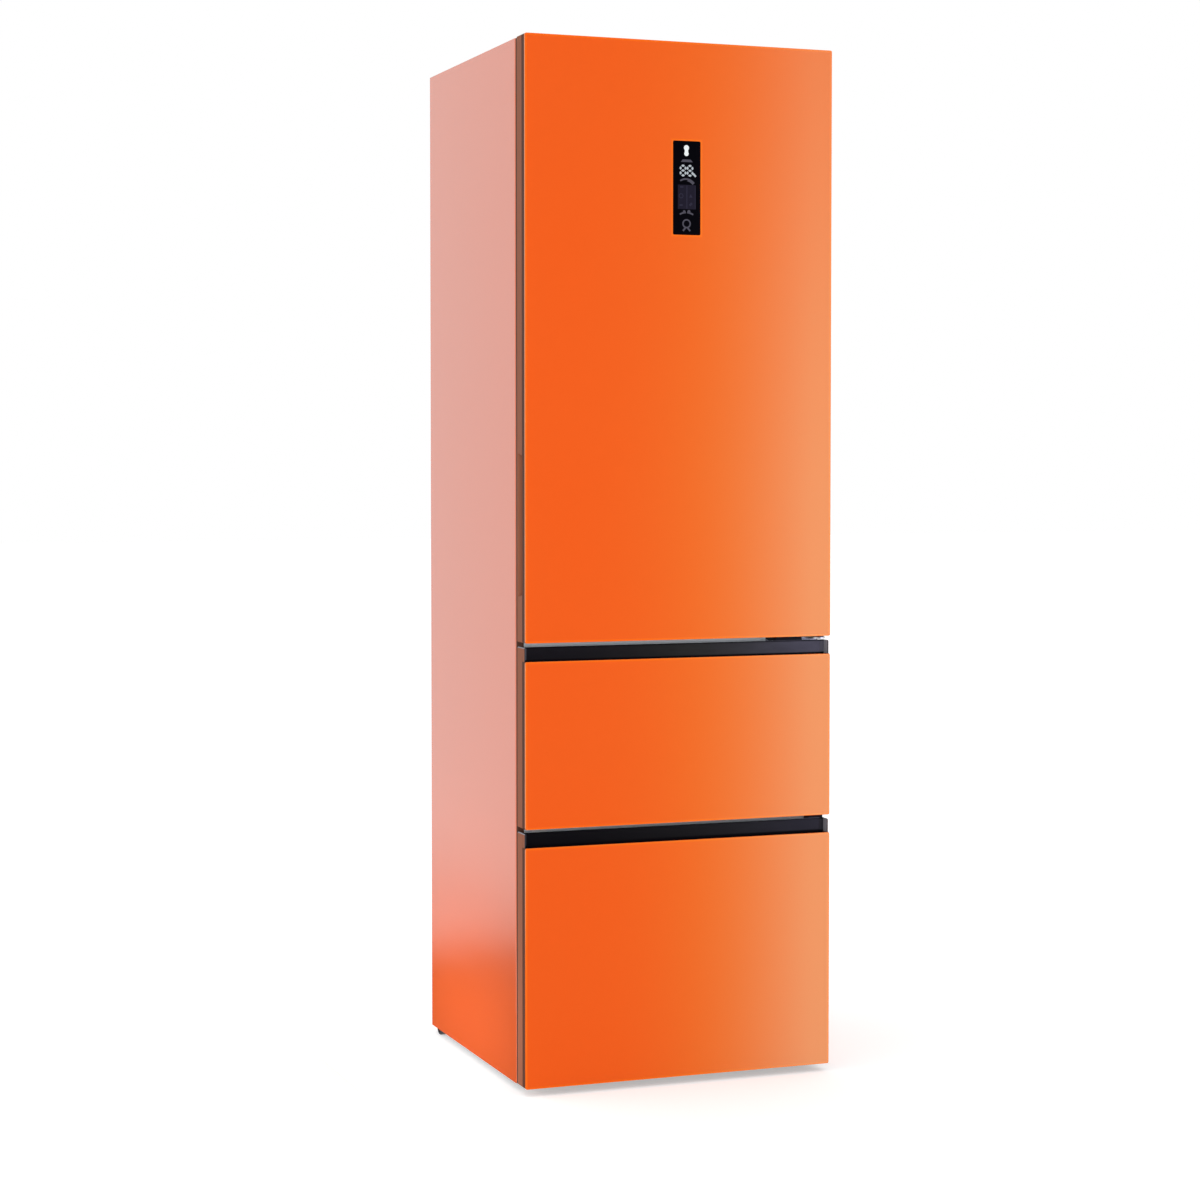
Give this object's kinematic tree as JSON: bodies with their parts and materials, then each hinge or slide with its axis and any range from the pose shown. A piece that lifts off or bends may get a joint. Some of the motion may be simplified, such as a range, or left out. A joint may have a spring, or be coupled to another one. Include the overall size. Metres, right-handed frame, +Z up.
{
  "type": "fridge freezer",
  "caption": "Tall fridge freezer with a glass-fronted fridge door hinged on the right above two pull-out freezer drawers, with shelves, bins, rails and cooling parts inside.",
  "frame": {"origin": "on the floor, at the middle of the footprint", "axes": "+Z up, the fronts face -Y, +X to the right of someone who faces the fronts"},
  "size_m": [0.595, 0.625, 1.886],
  "materials": {
    "painted_side": "satin",
    "zinc_sheet": "satin",
    "base_paint": "matte",
    "foam": "matte",
    "liner_white": "satin",
    "light_grey": "satin",
    "gasket_grey": "matte",
    "compressor_black": "gloss",
    "copper": "satin",
    "black_plastic": "matte",
    "lamp": "frosted",
    "shelf_glass": "clear",
    "fin_aluminium": "satin",
    "roller": "satin",
    "clear_plastic": "clear",
    "lid_plastic": "clear",
    "orange_glass": "gloss",
    "display": "gloss",
    "bronze_trim": "satin"
  },
  "bodies": {
    "cabinet": {"side_panel_left": "painted_side", "side_panel_right": "painted_side", "top_panel": "zinc_sheet", "back_panel": "zinc_sheet", "base_frame": "base_paint", "insulation_foam": "foam", "fridge_liner": "liner_white", "freezer_liner": "liner_white", "front_mullions": "light_grey", "compressor": "compressor_black", "drip_tray": "liner_white", "refrigerant_pipes": "copper", "power_inlet": "black_plastic", "wall_spacers": "black_plastic", "top_hinge": "zinc_sheet", "middle_hinge": "zinc_sheet", "hinge_covers": "black_plastic", "cabinet_screws": "zinc_sheet", "ceiling_lamp": "lamp", "air_duct": "liner_white", "shelf_glass": "shelf_glass", "shelf_trims": "light_grey", "evaporator": "fin_aluminium", "evaporator_cover": "liner_white", "cabinet_rails": "zinc_sheet"},
    "fridge_door": {"door_glass": "orange_glass", "door_display": "display", "door_frame": "bronze_trim", "door_core": "foam", "door_liner": "liner_white", "door_gasket": "gasket_grey", "door_bin_1": "clear_plastic", "door_bin_2": "clear_plastic", "door_bin_3": "clear_plastic", "dairy_box": "clear_plastic"},
    "dairy_lid": {"dairy_lid": "lid_plastic"},
    "mid_drawer": {"mid_glass": "orange_glass", "mid_frame": "bronze_trim", "mid_grip": "black_plastic", "mid_liner": "liner_white", "mid_gasket": "gasket_grey", "mid_basket": "clear_plastic", "mid_rails": "zinc_sheet"},
    "mid_tray": {"mid_tray": "clear_plastic"},
    "mid_slider": {"mid_rail_sliders": "zinc_sheet"},
    "lower_drawer": {"lower_glass": "orange_glass", "lower_frame": "bronze_trim", "lower_grip": "black_plastic", "lower_liner": "liner_white", "lower_gasket": "gasket_grey", "lower_basket": "clear_plastic", "lower_rails": "zinc_sheet"},
    "lower_slider": {"lower_rail_sliders": "zinc_sheet"},
    "crisper_left": {"crisper_left": "clear_plastic"},
    "crisper_right": {"crisper_right": "clear_plastic"},
    "evaporator_fan": {"evaporator_fan": "black_plastic"},
    "rear_roller_left": {"rear_roller_left": "roller"},
    "rear_roller_right": {"rear_roller_right": "roller"},
    "front_foot_left": {"front_foot_left": "roller"},
    "front_foot_right": {"front_foot_right": "roller"}
  },
  "joints": [
    {"name": "fridge_door_hinge", "type": "hinge", "parent": "cabinet", "child": "fridge_door", "pos_m": [0.2815, -0.2925, 1.34], "axis": [0, 0, 1], "range_deg": [0, 120]},
    {"name": "dairy_lid_hinge", "type": "hinge", "parent": "fridge_door", "child": "dairy_lid", "pos_m": [0, -0.2595, 1.681], "axis": [1, 0, 0], "range_deg": [0, 90]},
    {"name": "mid_drawer_slide", "type": "slide", "parent": "cabinet", "child": "mid_drawer", "axis": [0, -1, 0], "range_m": [0, 0.34]},
    {"name": "mid_slider_slide", "type": "slide", "parent": "cabinet", "child": "mid_slider", "axis": [0, -1, 0], "range_m": [0, 0.17]},
    {"name": "mid_tray_slide", "type": "slide", "parent": "mid_drawer", "child": "mid_tray", "axis": [0, 1, 0], "range_m": [0, 0.185]},
    {"name": "lower_drawer_slide", "type": "slide", "parent": "cabinet", "child": "lower_drawer", "axis": [0, -1, 0], "range_m": [0, 0.34]},
    {"name": "lower_slider_slide", "type": "slide", "parent": "cabinet", "child": "lower_slider", "axis": [0, -1, 0], "range_m": [0, 0.17]},
    {"name": "crisper_left_slide", "type": "slide", "parent": "cabinet", "child": "crisper_left", "axis": [0, -1, 0], "range_m": [0, 0.03]},
    {"name": "crisper_right_slide", "type": "slide", "parent": "cabinet", "child": "crisper_right", "axis": [0, -1, 0], "range_m": [0, 0.03]},
    {"name": "evaporator_fan_spin", "type": "hinge", "parent": "cabinet", "child": "evaporator_fan", "pos_m": [0, 0.1585, 0.679], "axis": [0, 1, 0], "continuous": true},
    {"name": "rear_roller_left_spin", "type": "hinge", "parent": "cabinet", "child": "rear_roller_left", "pos_m": [-0.2855, 0.2335, 0.017], "axis": [1, 0, 0], "continuous": true},
    {"name": "rear_roller_right_spin", "type": "hinge", "parent": "cabinet", "child": "rear_roller_right", "pos_m": [0.2855, 0.2335, 0.017], "axis": [1, 0, 0], "continuous": true},
    {"name": "front_foot_left_turn", "type": "hinge", "parent": "cabinet", "child": "front_foot_left", "pos_m": [-0.2515, -0.2255, 0.01], "axis": [0, 0, 1], "continuous": true},
    {"name": "front_foot_right_turn", "type": "hinge", "parent": "cabinet", "child": "front_foot_right", "pos_m": [0.2515, -0.2255, 0.01], "axis": [0, 0, 1], "continuous": true}
  ],
  "couplings": [
    {"joint": "mid_slider_slide", "follows": "mid_drawer_slide", "ratio": 0.5},
    {"joint": "lower_slider_slide", "follows": "lower_drawer_slide", "ratio": 0.5}
  ]
}
